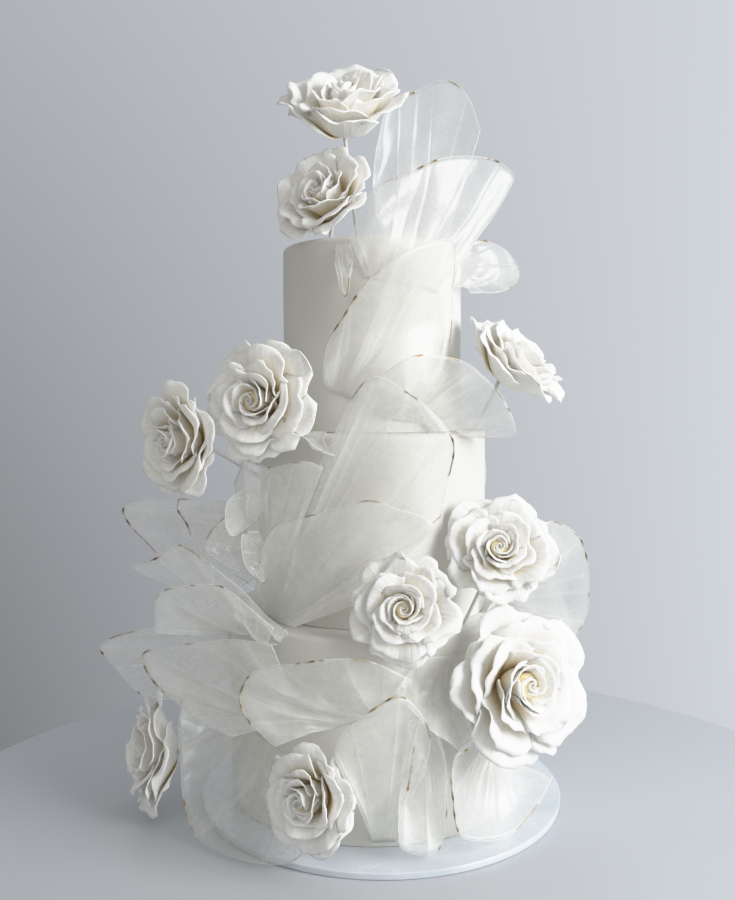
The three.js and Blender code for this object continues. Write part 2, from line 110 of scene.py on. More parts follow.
# %% Closed sheets, lathe shapes and tubes
def sheet(middle, thickness):
    """Corners and faces of a closed sheet round a grid of middle points (rows, columns, 3)."""
    rows, columns = middle.shape[:2]
    across = np.empty_like(middle)
    across[:, 1:-1] = middle[:, 2:] - middle[:, :-2]
    across[:, 0], across[:, -1] = middle[:, 1] - middle[:, 0], middle[:, -1] - middle[:, -2]
    along = np.empty_like(middle)
    along[1:-1] = middle[2:] - middle[:-2]
    along[0], along[-1] = middle[1] - middle[0], middle[-1] - middle[-2]
    lift = unit(np.cross(across, along)) * thickness / 2
    points = np.concatenate([(middle + lift).reshape(-1, 3), (middle - lift).reshape(-1, 3)])
    number = np.arange(rows * columns).reshape(rows, columns)
    a, b = number[:-1, :-1].ravel(), number[:-1, 1:].ravel()
    c, d = number[1:, :-1].ravel(), number[1:, 1:].ravel()
    back = rows * columns
    rim = np.concatenate([number[0, :-1], number[:-1, -1], number[-1, :0:-1], number[:0:-1, 0]])
    following = np.roll(rim, -1)
    faces = np.concatenate([
        np.stack([a, b, d, c], axis=1),
        np.stack([a, c, d, b], axis=1) + back,
        np.stack([rim, rim + back, following + back, following], axis=1),
    ])
    return points, faces


def tube(path, radius, sides=6):
    """Corners and faces of a closed tube along a path."""
    count = len(path)
    heading = unit(np.gradient(path, axis=0))
    side = np.empty_like(path)
    start = np.array([0.0, 0.0, 1.0]) if abs(heading[0][2]) < 0.9 else np.array([1.0, 0.0, 0.0])
    side[0] = unit(np.cross(heading[0], start))
    for i in range(1, count):
        turned = side[i - 1] - heading[i] * np.dot(side[i - 1], heading[i])
        side[i] = unit(turned)
    other = np.cross(heading, side)
    turn = np.arange(sides) * 2 * math.pi / sides
    radii = np.broadcast_to(np.asarray(radius, dtype=float), (count,))[:, None, None]
    ring = np.cos(turn)[None, :, None] * side[:, None] + np.sin(turn)[None, :, None] * other[:, None]
    points = np.concatenate([(path[:, None] + ring * radii).reshape(-1, 3), path[:1], path[-1:]])
    faces = []
    for i in range(sides):
        j = (i + 1) % sides
        low = np.arange(count - 1) * sides
        faces.append(np.stack([low + i, low + j, low + j + sides, low + i + sides], axis=1))
    first, last = count * sides, count * sides + 1
    end = (count - 1) * sides
    caps = [(first, (i + 1) % sides, i, i) for i in range(sides)]
    caps += [(last, end + i, end + (i + 1) % sides, end + (i + 1) % sides) for i in range(sides)]
    return points, np.concatenate(faces + [np.array(caps)])


def lathe(profile, segments, middle=(0, 0)):
    """Corners and faces of a profile of (radius, height), turned about an upright axis."""
    turn = np.arange(segments) * 2 * math.pi / segments
    rings = [(radius * np.sin(turn), -radius * np.cos(turn), np.full(segments, height))
             for radius, height in profile[1:-1]]
    points = np.concatenate([np.stack(ring, axis=1) for ring in rings])
    ends = np.array([[0, 0, profile[0][1]], [0, 0, profile[-1][1]]])
    points = np.concatenate([points, ends]) + np.array([middle[0], middle[1], 0])
    i = np.arange(segments)
    j = (i + 1) % segments
    faces = []
    for ring in range(len(rings) - 1):
        low, high = ring * segments, (ring + 1) * segments
        faces.append(np.stack([low + i, low + j, high + j, high + i], axis=1))
    bottom, top = len(rings) * segments, len(rings) * segments + 1
    last = (len(rings) - 1) * segments
    faces.append(np.stack([np.full(segments, bottom), j, i, i], axis=1))
    faces.append(np.stack([np.full(segments, top), last + i, last + j, last + j], axis=1))
    return points, np.concatenate(faces)


def make_piece(name, parts, finishes):
    """One object from parts of (points in millimetres, faces, finish number, {attribute: values})."""
    offset, points, faces, numbers = 0, [], [], []
    values = {}
    for part_points, part_faces, finish, attributes in parts:
        points.append(part_points)
        faces += [tuple(dict.fromkeys(face)) for face in (part_faces + offset).tolist()]
        numbers += [finish] * len(part_faces)
        offset += len(part_points)
        for key in attributes:
            values.setdefault(key, []).append(attributes[key])
    mesh = bpy.data.meshes.new(name)
    mesh.from_pydata((np.concatenate(points) * MM).tolist(), [], faces)
    for finish in finishes:
        mesh.materials.append(finish)
    mesh.polygons.foreach_set("material_index", numbers)
    mesh.polygons.foreach_set("use_smooth", [True] * len(faces))
    for key, held in values.items():
        data = np.concatenate(held).astype(float)
        kind, field = ("FLOAT_VECTOR", "vector") if data.ndim == 2 else ("FLOAT", "value")
        mesh.attributes.new(key, kind, "POINT").data.foreach_set(field, data.ravel())
    mesh.update()
    piece = bpy.data.objects.new(name, mesh)
    scene.collection.objects.link(piece)
    return piece


made_faces = {}


def dress(piece, node):
    """The piece stands for a solid of the same place, and rides on the cake."""
    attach(piece, "root")
    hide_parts(node)
    made_faces[piece.name] = len(piece.data.polygons)


print("Helpers ready")

# %% [markdown]
# ## Helpers for finishes
#
# Each finish is a small tree of nodes. Two helpers keep the cells short: one adds a node and sets its
# sockets by name, the other adds a noise whose grain is given in millimetres.

# %% Nodes in one line each
def start_finish(name):
    """A new material, with its tree and its main shader."""
    finish = bpy.data.materials.new(name)
    finish.use_nodes = True
    tree = finish.node_tree
    return finish, tree, tree.nodes["Principled BSDF"]


def add(tree, kind, **settings):
    """A node whose properties and sockets are set by name; a socket takes a value or another socket."""
    node = tree.nodes.new(kind)
    for key, value in settings.items():
        if hasattr(node, key):
            setattr(node, key, value)
            continue
        socket = node.inputs[int(key[2:]) if key.startswith("in") else key.replace("_", " ")]
        if isinstance(value, bpy.types.NodeSocket):
            tree.links.new(value, socket)
        else:
            socket.default_value = value
    return node


def noise(tree, grain, detail=3, roughness=0.5):
    """Noise with a grain in millimetres, over the piece's own place."""
    place = add(tree, "ShaderNodeTexCoord").outputs["Object"]
    return add(tree, "ShaderNodeTexNoise", Vector=place, Scale=1000 / grain, Detail=detail,
               Roughness=roughness).outputs["Fac"]


def blend(tree, factor, first, second):
    """A colour between two others."""
    node = add(tree, "ShaderNodeMix", data_type="RGBA", in0=factor)
    for index, value in ((6, first), (7, second)):
        if isinstance(value, bpy.types.NodeSocket):
            tree.links.new(value, node.inputs[index])
        else:
            node.inputs[index].default_value = (*value, 1)
    return node.outputs[2]


def spread(tree, value, low, high, to_low=0.0, to_high=1.0):
    """A value stretched from one range to another."""
    return add(tree, "ShaderNodeMapRange", Value=value, From_Min=low, From_Max=high, To_Min=to_low,
               To_Max=to_high).outputs["Result"]


def bump(tree, height, distance, below=None):
    """A bump of a height in millimetres, over another bump if there is one."""
    node = add(tree, "ShaderNodeBump", Height=height, Distance=distance * MM, Strength=1)
    if below is not None:
        tree.links.new(below, node.inputs["Normal"])
    return node.outputs["Normal"]


print("Finish helpers ready")

# %% [markdown]
# ## The board
#
# The cake stands on a round board with a hard glossy face, pale blue-grey, whose edge catches the window as
# a bright line. A lathe profile with small rounded corners gives that line. The gloss comes from a clear
# coat over the colour. Faint smears in its roughness keep it from looking like a mirror.

# %% Turn the board
BOARD_RADIUS = 154.7
BOARD_THICKNESS = 5.4
BOARD_MIDDLE = (7.6, -5.5)
BOARD_ROUND = 1.0
SMOOTH_SEGMENTS = 192


def rounded(radius, bottom, top, low_round, high_round, steps=6):
    """A drum's profile with its two edges rounded."""
    profile = [(0, bottom)]
    for centre, size, start in ((bottom + low_round, low_round, -90), (top - high_round, high_round, 0)):
        for step in range(steps + 1):
            angle = math.radians(start + 90 * step / steps)
            profile.append((radius - size + size * math.cos(angle), centre + size * math.sin(angle)))
    return profile + [(0, top)]


board_finish, tree, shader = start_finish("board_gloss")
smears = noise(tree, 45, detail=5)
grain = noise(tree, 6, detail=2)
colour = blend(tree, spread(tree, smears, 0.35, 0.65), (0.54, 0.585, 0.64), (0.64, 0.68, 0.73))
tree.links.new(colour, shader.inputs["Base Color"])
tree.links.new(spread(tree, smears, 0.3, 0.7, 0.16, 0.3), shader.inputs["Roughness"])
tree.links.new(bump(tree, grain, 0.02), shader.inputs["Normal"])
shader.inputs["Coat Weight"].default_value = 0.6
shader.inputs["Coat Roughness"].default_value = 0.06

board_profile = rounded(BOARD_RADIUS, 0, BOARD_THICKNESS, BOARD_ROUND, BOARD_ROUND)
board_profile[-1:-1] = [(BOARD_RADIUS * share, BOARD_THICKNESS) for share in (0.95, 0.8, 0.4)]
board = make_piece("board", [(*lathe(board_profile, SMOOTH_SEGMENTS, BOARD_MIDDLE), 0, {})], [board_finish])
dress(board, "cake_board")
print("Board:", len(board.data.polygons), "faces")

# %% [markdown]
# ## The three tiers
#
# Each tier is a drum iced smooth, with a crisp but soft top edge. Hand-smoothed icing has slow waves that
# only show in the gloss, and a very fine tooth. The waves are real, moved by a fraction of a millimetre,
# and the tooth is a bump. The finish is satin: a little light sinks in and softens the shade.

# %% Ice the tiers
TIER_GAP = 0.3
TIER_EDGE = 4.0
TIER_INSET = 0.15
ICING_WAVE = 0.1
TIERS = []
level = BOARD_THICKNESS
for name, radius, height in (("lower", 123.2, 158.4), ("middle", 97.1, 151.3), ("upper", 76, 153.2)):
    TIERS.append({"name": name, "radius": radius, "bottom": level + TIER_GAP, "top": level + height})
    level += height

icing, tree, shader = start_finish("icing_satin")
cloud = noise(tree, 70, detail=4)
tooth = noise(tree, 1.6, detail=4, roughness=0.6)
strokes = noise(tree, 24, detail=2)
colour = blend(tree, spread(tree, cloud, 0.3, 0.7), (0.65, 0.638, 0.60), (0.695, 0.688, 0.66))
tree.links.new(colour, shader.inputs["Base Color"])
tree.links.new(spread(tree, strokes, 0.3, 0.7, 0.42, 0.56), shader.inputs["Roughness"])
tree.links.new(bump(tree, tooth, 0.05, below=bump(tree, strokes, 0.25)), shader.inputs["Normal"])
shader.inputs["Subsurface Weight"].default_value = 0.12
shader.inputs["Subsurface Radius"].default_value = (0.006, 0.005, 0.004)
shader.inputs["Subsurface Scale"].default_value = 0.5

for order, tier in enumerate(TIERS):
    radius = tier["radius"] - TIER_INSET
    profile = rounded(radius, tier["bottom"], tier["top"], TIER_GAP, TIER_EDGE, steps=8)
    middle = len(profile) // 2
    rise = [tier["bottom"] + (tier["top"] - tier["bottom"]) * share for share in np.linspace(0.08, 0.92, 14)]
    profile[middle:middle] = [(radius, height) for height in rise]
    profile[-1:-1] = [((tier["radius"] - TIER_EDGE) * share, tier["top"]) for share in (0.9, 0.6, 0.3)]
    points, faces = lathe(profile, SMOOTH_SEGMENTS)
    turn = np.arctan2(points[:, 0], -points[:, 1])
    waves = np.sin(3 * turn + order + points[:, 2] / 31) * np.sin(points[:, 2] / 23 + 2 * order)
    waves += 0.5 * np.sin(7 * turn - points[:, 2] / 17)
    outward = unit(points * np.array([1, 1, 0]))
    points = points + outward * (waves * ICING_WAVE)[:, None]
    piece = make_piece("iced_tier_" + tier["name"], [(points, faces, 0, {})], [icing])
    dress(piece, "tier_" + tier["name"])
print("Tiers:", [(tier["name"], round(tier["top"], 1)) for tier in TIERS])

# %% [markdown]
# ## How a petal bends
#
# A rose petal leaves the stem almost flat, turns up to make the cup and rolls back at its lip. The outer
# petals do all three strongly, the inner ones hardly roll. So each row has three angles from the rose's
# axis, for the foot, the middle and the lip, and a petal is the curve that follows them. Sizes are shares
# of the rose's diameter, so that one recipe makes all ten roses.

# %% Rows of petals
PETAL_ROWS = [
    {"rank": 0, "petals": 5, "length": 0.56, "foot": 85, "middle": 46, "lip": 112, "half": 50, "wild": 1.6},
    {"rank": 0.5, "petals": 4, "length": 0.53, "foot": 79, "middle": 33, "lip": 104, "half": 56, "wild": 1.4},
    {"rank": 1, "petals": 4, "length": 0.47, "foot": 70, "middle": 15, "lip": 86, "half": 58, "wild": 1.0},
    {"rank": 2, "petals": 3, "length": 0.43, "foot": 52, "middle": 5, "lip": 58, "half": 72, "wild": 0.7},
    {"rank": 3, "petals": 3, "length": 0.41, "foot": 38, "middle": 0, "lip": 32, "half": 86, "wild": 0.4},
    {"rank": 4, "petals": 2, "length": 0.385, "foot": 24, "middle": -3, "lip": 20, "half": 116, "wild": 0.2},
    {"rank": 5, "petals": 2, "length": 0.37, "foot": 11, "middle": -4, "lip": 10, "half": 138, "wild": 0.12},
]
PETAL_FOOT = 0.03
PETAL_GRID = (19, 15)
PETAL_THICKNESS = 0.9
CORNER_CUT, CORNER_WILD = 0.12, 0.07
TUCK = 0.034
CORNER_ROLL, EDGE_ROLL = 0.035, 0.02
RIPPLE, RUFFLE, CRIMP, CREASE = 0.018, 0.012, 0.005, 0.006


def petal_run(row, openness):
    """Distance from the axis, height and slope at even steps along a petal."""
    steps = 60
    t = np.linspace(0, 1, steps + 1)
    middle = (t[1:] + t[:-1]) / 2

    def slope(share):
        bend = row["middle"] + (row["foot"] - row["middle"]) * (1 - share) ** 3
        return np.radians(bend + (row["lip"] - row["middle"]) * share**4 + openness * share)

    out = PETAL_FOOT + np.concatenate([[0], np.cumsum(np.sin(slope(middle)))]) * row["length"] / steps
    up = np.concatenate([[0], np.cumsum(np.cos(slope(middle)))]) * row["length"] / steps
    return t, out, up, slope(t)


def petal_points(rose, row, petal):
    """The middle of one petal as a grid of points, in shares of the rose's diameter."""
    across, along = np.meshgrid(np.linspace(-1, 1, PETAL_GRID[0]), np.linspace(0, 1, PETAL_GRID[1]))
    seed, rank = rose["seed"], row["rank"]
    wave = uneven(seed, 20 + 10 * rank + petal)
    other = uneven(seed, 80 + 10 * rank + petal)
    tip = (0.05 + 0.08 * other) * np.exp(-((across - 0.3 + 0.6 * wave) / 0.2) ** 2)
    notch = 0.035 * np.sin(6.5 * across + 30 * wave) + 0.02 * np.sin(15 * across + 50 * other)
    cut = (CORNER_CUT + CORNER_WILD * row["wild"]) * np.abs(across) ** 2.2
    share = along * (1 - cut) * (0.9 + 0.15 * wave)
    share = share + (tip + notch) * row["wild"] * along**8
    t, out, up, slope = petal_run(row, rose["openness"] + 9 * (other - 0.5))
    out, up, slope = (np.interp(share, t, values) for values in (out, up, slope))
    roll = CORNER_ROLL * np.maximum(0, across) ** 3 * along + EDGE_ROLL * np.abs(across) ** 3 * along**4
    ripple = RIPPLE * along**3 * np.sin(4.1 * across + 6 * wave)
    ruffle = RUFFLE * along**4 * np.sin(7.5 * across + 20 * wave)
    ruffle = ruffle + CRIMP * along**7 * np.sin(17 * across + 40 * other)
    ripple, ruffle = ripple * row["wild"], ruffle * row["wild"]
    crease = CREASE * along * (1 - along) * np.cos(26 * across + 9 * other)
    stand = TUCK * across * along + roll + ripple + ruffle + crease
    distance = out + stand * np.cos(slope)
    height = up - stand * np.sin(slope)
    start = 360 * uneven(seed, 1) + 16 * uneven(seed, 2 + rank)
    facing = start + 360 / row["petals"] * (petal - rank / 2) + 6 * (wave - 0.5)
    turn = np.radians(facing + across * row["half"])
    return np.stack([distance * np.cos(turn), distance * np.sin(turn), height], axis=-1), across, along


print("An outer petal reaches", round(float(petal_run(PETAL_ROWS[0], 0)[1][-1]), 2), "of the diameter")

# %% [markdown]
# ## The heart of a rose
#
# The innermost petals are wound round each other like a bud, so they reach more than half way round the
# axis. In the very middle stands a small core, a strip of paste rolled up once. Below the lips the heart is
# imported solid, so the gaps between the inner petals are shallow.

# %% Roll the core
CORE_TURNS = 1.35
CORE_RADIUS = (0.004, 0.03)
CORE_FLARE = 0.008
CORE_FOOT = 0.1
CORE_HEIGHT = 0.35
CORE_STEPS = (44, 7)
HEART_PROFILE = [(0, 0.05), (0.05, 0.06), (0.085, 0.2), (0.08, 0.29), (0.04, 0.315), (0, 0.32)]
HEART_SEGMENTS = 24


def core_points(rose):
    """The rolled strip as a grid of points, in shares of the diameter."""
    along, up = np.meshgrid(np.linspace(0, 1, CORE_STEPS[0]), np.linspace(0, 1, CORE_STEPS[1]))
    turn = 2 * math.pi * (CORE_TURNS * along + uneven(rose["seed"], 5))
    radius = CORE_RADIUS[0] + (CORE_RADIUS[1] - CORE_RADIUS[0]) * along
    radius = radius * (0.85 + 0.15 * up) + CORE_FLARE * along * up**5
    height = CORE_FOOT + (CORE_HEIGHT - CORE_FOOT + CORE_FLARE * np.sin(1.7 * turn)) * up
    return np.stack([radius * np.cos(turn), radius * np.sin(turn), height], axis=-1), up, along


print("The core winds", CORE_TURNS, "times")

# %% [markdown]
# ## Sugar paste
#
# Petal paste is matt and creamy white, and light sinks a short way into it. Deep between the petals the
# roses get a painted amber shade, a darker tint standing in for the light that is lost there. Fine veins fan
# out along each petal. A painted shade value on the mesh says how deep a point lies, and a second value runs
# along the petal, so the veins follow its shape.

# %% Mix the paste
paste, tree, shader = start_finish("sugar_paste")
# Painted shade: an amber tint darkens the paste where the mesh value says a point lies deep in the rose
warmth = add(tree, "ShaderNodeAttribute", attribute_name="warmth").outputs["Fac"]
run = add(tree, "ShaderNodeAttribute", attribute_name="run").outputs["Vector"]
veins = add(tree, "ShaderNodeTexNoise", Vector=run, Scale=1, Detail=3, Roughness=0.6).outputs["Fac"]
patches = noise(tree, 9)
white = blend(tree, spread(tree, veins, 0.3, 0.7), (0.89, 0.883, 0.858), (0.98, 0.975, 0.96))
painted_shade_amount = add(tree, "ShaderNodeMath", operation="MULTIPLY", in0=warmth,
           in1=spread(tree, patches, 0.3, 0.7, 0.55, 1.15)).outputs[0]
tree.links.new(blend(tree, painted_shade_amount, white, (0.88, 0.73, 0.44)), shader.inputs["Base Color"])
tree.links.new(spread(tree, patches, 0.3, 0.7, 0.5, 0.66), shader.inputs["Roughness"])
fine = noise(tree, 0.7, detail=2)
tree.links.new(bump(tree, fine, 0.04, below=bump(tree, veins, 0.8)), shader.inputs["Normal"])
shader.inputs["Subsurface Weight"].default_value = 0.5
shader.inputs["Subsurface Radius"].default_value = (0.0032, 0.003, 0.0026)
shader.inputs["Subsurface Scale"].default_value = 0.6
shader.inputs["Sheen Weight"].default_value = 0.08

stem_wrap, tree, shader = start_finish("stem_wrap")
twist = noise(tree, 2.2)
tree.links.new(blend(tree, twist, (0.50, 0.50, 0.47), (0.74, 0.74, 0.70)), shader.inputs["Base Color"])
tree.links.new(spread(tree, twist, 0.3, 0.7, 0.45, 0.7), shader.inputs["Roughness"])
tree.links.new(bump(tree, twist, 0.2), shader.inputs["Normal"])
print("Paste and stem wrap mixed")

# %% [markdown]
# ## Ten roses
#
# Each rose has a place where its petals meet, a stem that goes into the cake, the way it looks, a size and
# how open it is. The petals are placed by one matrix for each rose, so they keep the shape of the recipe.

# %% Where the roses are
ROSES = [
    {"name": "top", "base": (-63, 26, 563), "stem": (-120, 12, 462),
     "faces": (-4, 51), "diameter": 110, "openness": -24, "seed": 1},
    {"name": "second", "base": (-44, 44, 495), "stem": (-46, 50, 462),
     "faces": (-32, 28), "diameter": 88, "openness": -18, "seed": 2},
    {"name": "left_upper", "base": (-45, 113, 338), "stem": (-48, 84, 308),
     "faces": (-24, 6), "diameter": 92, "openness": 0, "seed": 3},
    {"name": "left", "base": (-67, 152, 309), "stem": (-63, 90, 270),
     "faces": (-44, -4), "diameter": 92, "openness": -4, "seed": 4},
    {"name": "right_upper", "base": (74, 110, 358), "stem": (68, 88, 306),
     "faces": (62, 46), "diameter": 98, "openness": -6, "seed": 5},
    {"name": "right_middle", "base": (52, 124, 220), "stem": (42, 104, 158),
     "faces": (-2, 22), "diameter": 84, "openness": 0, "seed": 6},
    {"name": "centre", "base": (12, 119, 186), "stem": (16, 110, 158),
     "faces": (-6, 12), "diameter": 80, "openness": 2, "seed": 7},
    {"name": "large", "base": (46, 142, 124), "stem": (46, 116, 118),
     "faces": (24, 12), "diameter": 112, "openness": 0, "seed": 8},
    {"name": "front", "base": (-15, 143, 54), "stem": (-15, 116, 60),
     "faces": (-36, 4), "diameter": 77, "openness": -4, "seed": 9},
    {"name": "left_low", "base": (-74, 170, 48), "stem": (-72, 116, 66),
     "faces": (-68, 6), "diameter": 98, "openness": -4, "seed": 10},
]
STEM_RADIUS = 1.5
STEM_STEPS = 14
STEM_SIDES = 10
print("Roses:", len(ROSES))


# %% Build the roses
def rose_placer(rose):
    """A function that takes points in shares of the diameter to their place on the cake."""
    turn, rise = rose["faces"]
    height = math.sin(math.radians(rise))
    axis = Vector(around((turn, math.cos(math.radians(rise)), height)))
    spin = np.array(Vector((0, 0, 1)).rotation_difference(axis).to_matrix())
    base = around(rose["base"])
    return lambda points: base + (points * rose["diameter"]) @ spin.T


def warm(along, row):
    """How much painted amber shade a petal gets deep between the petals, on its inner and its outer face."""
    heart = max(0, row["rank"] - 2)
    deep = np.clip((0.86 + 0.06 * heart - along) / 0.55, 0, 1) ** 1.1
    outer = 0.12 if row["rank"] < 1 else 0.75
    return np.concatenate([(deep * outer).ravel(), deep.ravel()])


def doubled(*fields):
    """A vector for both faces of a sheet from three fields."""
    stacked = np.stack([np.broadcast_to(field, fields[0].shape).ravel() for field in fields], axis=1)
    return np.concatenate([stacked, stacked])


for rose in ROSES:
    place = rose_placer(rose)
    parts = []
    for row in PETAL_ROWS:
        for petal in range(row["petals"]):
            points, across, along = petal_points(rose, row, petal)
            mark = 7.0 * petal + 40 * row["rank"] + 300 * rose["seed"]
            run = doubled(across * (7 + 5 * along), along * 1.6, mark)
            corners, faces = sheet(place(points), PETAL_THICKNESS)
            parts.append((corners, faces, 0, {"warmth": warm(along, row), "run": run}))
    points, up, along = core_points(rose)
    corners, faces = sheet(place(points), PETAL_THICKNESS)
    # Painted shade: the lower part of the rolled core is tinted amber
    depth = np.clip((0.9 - up) / 0.5, 0, 1)
    run = doubled(along * 40, up * 1.6, 300.0 * rose["seed"])
    parts.append((corners, faces, 0, {"warmth": np.tile(depth.ravel(), 2), "run": run}))
    corners, faces = lathe(HEART_PROFILE, HEART_SEGMENTS)
    mark = np.tile([[0.0, 0.0, 300.0 * rose["seed"]]], (len(corners), 1))
    # Painted shade: the whole hidden heart is tinted amber
    parts.append((place(corners), faces, 0, {"warmth": np.ones(len(corners)), "run": mark}))
    from_point, to_point = around(rose["base"]), around(rose["stem"])
    share = np.linspace(0, 1, STEM_STEPS)[:, None]
    corners, faces = tube(from_point + (to_point - from_point) * share, STEM_RADIUS, STEM_SIDES)
    plain = {"warmth": np.zeros(len(corners)), "run": np.zeros((len(corners), 3))}
    parts.append((corners, faces, 1, plain))
    piece = make_piece("sugar_rose_" + rose["name"], parts, [paste, stem_wrap])
    dress(piece, "rose_" + rose["name"])
    print(piece.name, len(piece.data.polygons), "faces")

# %% [markdown]
# ## How a sail is cut and gathered
#
# A sail is a piece of wafer film, pinched along a short line on the cake and spread to a wire that the
# maker bent by hand. So its shape has two parts: a straight root, and a rim that is a smooth curve through
# a few points. Between them it swells, with broad pleats, and fine creases that fan out of the root. Where
# the film would cut into a tier it is laid against the icing instead.

# %% The curve of a rim and the surface of a sail
PLEAT_DEPTH = 2
DENTS = 6
DENT_DEPTH = 0.5
CLEAR_AT_ROOT, CLEAR_SPREAD = 0.9, 1.6
RIM_STEP = 0.05


def rim_curve(control, share):
    """Points of a smooth curve through the control points."""
    ends = np.vstack([2 * control[0] - control[1], control, 2 * control[-1] - control[-2]])
    place = np.clip(share, 0, 1) * (len(control) - 1)
    span = np.minimum(place.astype(int), len(control) - 2)
    t = (place - span)[..., None]
    before, start, end, after = (ends[span + step] for step in range(4))
    leave, arrive = (end - before) / 2, (after - start) / 2
    bend = 3 * (end - start) - 2 * leave - arrive
    return start + leave * t + bend * t**2 + (2 * (start - end) + leave + arrive) * t**3


def clear_of_cake(points, clearance):
    """The points, moved to stay clear of the stepped side of the cake."""
    points = points.copy()
    for tier in TIERS:
        distance = np.hypot(points[..., 0], points[..., 1])
        short = tier["radius"] + clearance - distance
        low = tier["top"] + clearance - points[..., 2]
        inside = (short > 0) & (low > 0)
        lifted = inside & (low < short)
        pushed = inside & ~lifted
        points[..., 2] += np.where(lifted, low, 0)
        outwards = (tier["radius"] + clearance) / np.maximum(distance, 1e-6)
        points[..., :2] *= np.where(pushed, outwards, 1)[..., None]
    return points


def fine_creases(sail, u, v):
    """A few sharp creases that fan out of the root, over slow dents: height in millimetres and whiteness."""
    seed = sail["seed"]
    count = 3 + int(2 * sail["folds"])
    height, line = np.zeros_like(u), np.zeros_like(u)
    for step in range(count):
        place = (step + 0.15 + 0.7 * uneven(seed, 30 + step)) / count
        place = place + 0.03 * np.sin(2.5 * v + 6 * uneven(seed, 50 + step))
        sharp = 0.004 + 0.011 * uneven(seed, 70 + step)
        deep = 0.4 + 0.9 * uneven(seed, 90 + step)
        side = 1 if uneven(seed, 110 + step) > 0.4 else -1
        ridge = np.exp(-np.abs(u - place) / sharp)
        height += side * deep * ridge
        line += (0.3 + 0.7 * uneven(seed, 150 + step)) * ridge
    for step in range(DENTS):
        turn = 2 * math.pi * uneven(seed, 130 + step)
        often = 1.2 + 2.4 * uneven(seed, 140 + step)
        across = u * np.cos(turn) + v * np.sin(turn)
        height += DENT_DEPTH * np.sin(2 * math.pi * often * across + 9 * step)
    hold = np.sin(math.pi * (0.1 + 0.78 * v))
    return height * hold, line * hold


def sail_surface(sail, u, v):
    """Points of the sail for shares u along the rim and v from the root to the rim, in millimetres."""
    first, last = (around(place) for place in sail["root"])
    control = np.array([around(place) for place in sail["rim"]])
    root = first + (last - first) * u[..., None]
    rim = rim_curve(control, u)
    ahead, behind = np.minimum(1, u + RIM_STEP), np.maximum(0, u - RIM_STEP)
    across = rim_curve(control, ahead) - rim_curve(control, behind)
    normal = unit(np.cross(across, rim - root))
    pleat = np.sin(2 * math.pi * sail["folds"] * u + 6 * uneven(sail["seed"], 1))
    swell = sail["belly"] * np.sin(math.pi * v)
    swell = swell + sail.get("depth", PLEAT_DEPTH) * pleat * np.sin(math.pi * (0.12 + 0.8 * v))
    swell = swell * np.minimum(1, 6 * v) + fine_creases(sail, u, v)[0] * np.minimum(1, 4 * v)
    points = root + (rim - root) * v[..., None] + normal * swell[..., None]
    return clear_of_cake(points, CLEAR_AT_ROOT + CLEAR_SPREAD * np.minimum(1, 5 * v))


print("Sail recipe ready")

# %% [markdown]
# ## Wafer film
#
# The film is milky and thin: against the wall it is hardly there, over the cake it is a soft grey-white,
# and where it is gathered it turns white. So most light goes straight through, a little is scattered
# on each side, and a smooth wet-looking skin gives cool highlights. The skin keeps its gloss where the film
# is clearest, so it is mixed in above everything else, most where the film slants away. A gather value on
# the mesh says how crowded the film is.

# %% Mix the film
film, tree, shader = start_finish("wafer_film")
gather = add(tree, "ShaderNodeAttribute", attribute_name="gather").outputs["Fac"]
mottle = noise(tree, 14, detail=5, roughness=0.6)
speckle = noise(tree, 2.2)
crinkle = noise(tree, 7, detail=4, roughness=0.6)
wrinkled = bump(tree, speckle, 0.04, below=bump(tree, crinkle, 0.22))
haze = spread(tree, mottle, 0.3, 0.7, 0.16, 0.28)
edge = add(tree, "ShaderNodeLayerWeight", Blend=0.35, Normal=wrinkled).outputs["Facing"]
haze = add(tree, "ShaderNodeMath", operation="MULTIPLY_ADD", in0=gather, in1=0.45, in2=haze).outputs[0]
haze = add(tree, "ShaderNodeMath", operation="MULTIPLY_ADD", in0=edge, in1=0.05, in2=haze, use_clamp=True)
milk = blend(tree, mottle, (0.94, 0.945, 0.925), (0.985, 0.985, 0.97))
tree.links.new(milk, shader.inputs["Base Color"])
tree.links.new(wrinkled, shader.inputs["Normal"])
shader.inputs["Roughness"].default_value = 0.4
glow = add(tree, "ShaderNodeBsdfTranslucent", Color=milk, Normal=wrinkled)
body = add(tree, "ShaderNodeMixShader", in0=0.6, in1=shader.outputs[0], in2=glow.outputs[0])
clear = add(tree, "ShaderNodeBsdfTransparent")
clear.inputs["Color"].default_value = (1, 1, 1, 1)
sheer = add(tree, "ShaderNodeMixShader", in0=haze.outputs[0], in1=clear.outputs[0], in2=body.outputs[0])
skin = add(tree, "ShaderNodeBsdfGlossy", Normal=wrinkled)
skin.inputs["Roughness"].default_value = 0.2
skin.inputs["Color"].default_value = (1, 1, 1, 1)
slant = add(tree, "ShaderNodeLayerWeight", Blend=0.5, Normal=wrinkled).outputs["Facing"]
shine = add(tree, "ShaderNodeMath", operation="POWER", in0=slant, in1=4.0).outputs[0]
shine = add(tree, "ShaderNodeMath", operation="MULTIPLY_ADD", in0=shine, in1=0.5, in2=0.02)
wet = add(tree, "ShaderNodeMixShader", in0=shine.outputs[0], in1=sheer.outputs[0], in2=skin.outputs[0])
tree.links.new(wet.outputs[0], tree.nodes["Material Output"].inputs["Surface"])
scene.cycles.transparent_max_bounces = 32
print("Film mixed")

# %% [markdown]
# ## Where the sails are
#
# The real sails were set by eye, the tall ones first and the small ones over their roots. A table of places
# keeps that order easy to change. Each row has the two ends of the root and the points of the rim, as
# degrees round the cake, distance and height. Belly is the swell in millimetres, folds the number of pleats
# and depth their height, where it isn't the usual one. Gilt marks the shares of the rim where the wire is
# bare, and sheer makes the film clearer.

